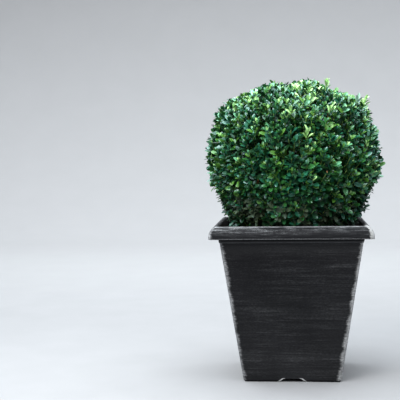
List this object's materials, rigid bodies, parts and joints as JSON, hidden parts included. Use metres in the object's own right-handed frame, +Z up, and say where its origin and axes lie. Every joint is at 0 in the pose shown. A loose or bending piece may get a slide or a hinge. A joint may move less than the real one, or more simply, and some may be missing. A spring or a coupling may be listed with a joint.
{
  "type": "box topiary ball in a square planter",
  "caption": "Box shrub clipped to a ball, on a short stem in the compost of a square tapered planter with a rounded rim.",
  "frame": {"origin": "on the planter's axis, at the level that its flat underside stands on", "axes": "+Z up, -Y to the front, as the picture looks at it, +X to the right"},
  "size_m": [0.4664, 0.46, 0.7551],
  "materials": {
    "planter": "satin charcoal with fine brushed streaks, worn pale along the rim and corners",
    "compost": "damp crumbly dark brown",
    "bark": "rough grey-brown bark",
    "foliage": "small glossy dark green leaves with paler young shoots"
  },
  "bodies": {
    "root": {"planter": "planter", "compost": "compost", "trunk": "bark", "foliage_ball": "foliage"}
  },
  "joints": []
}
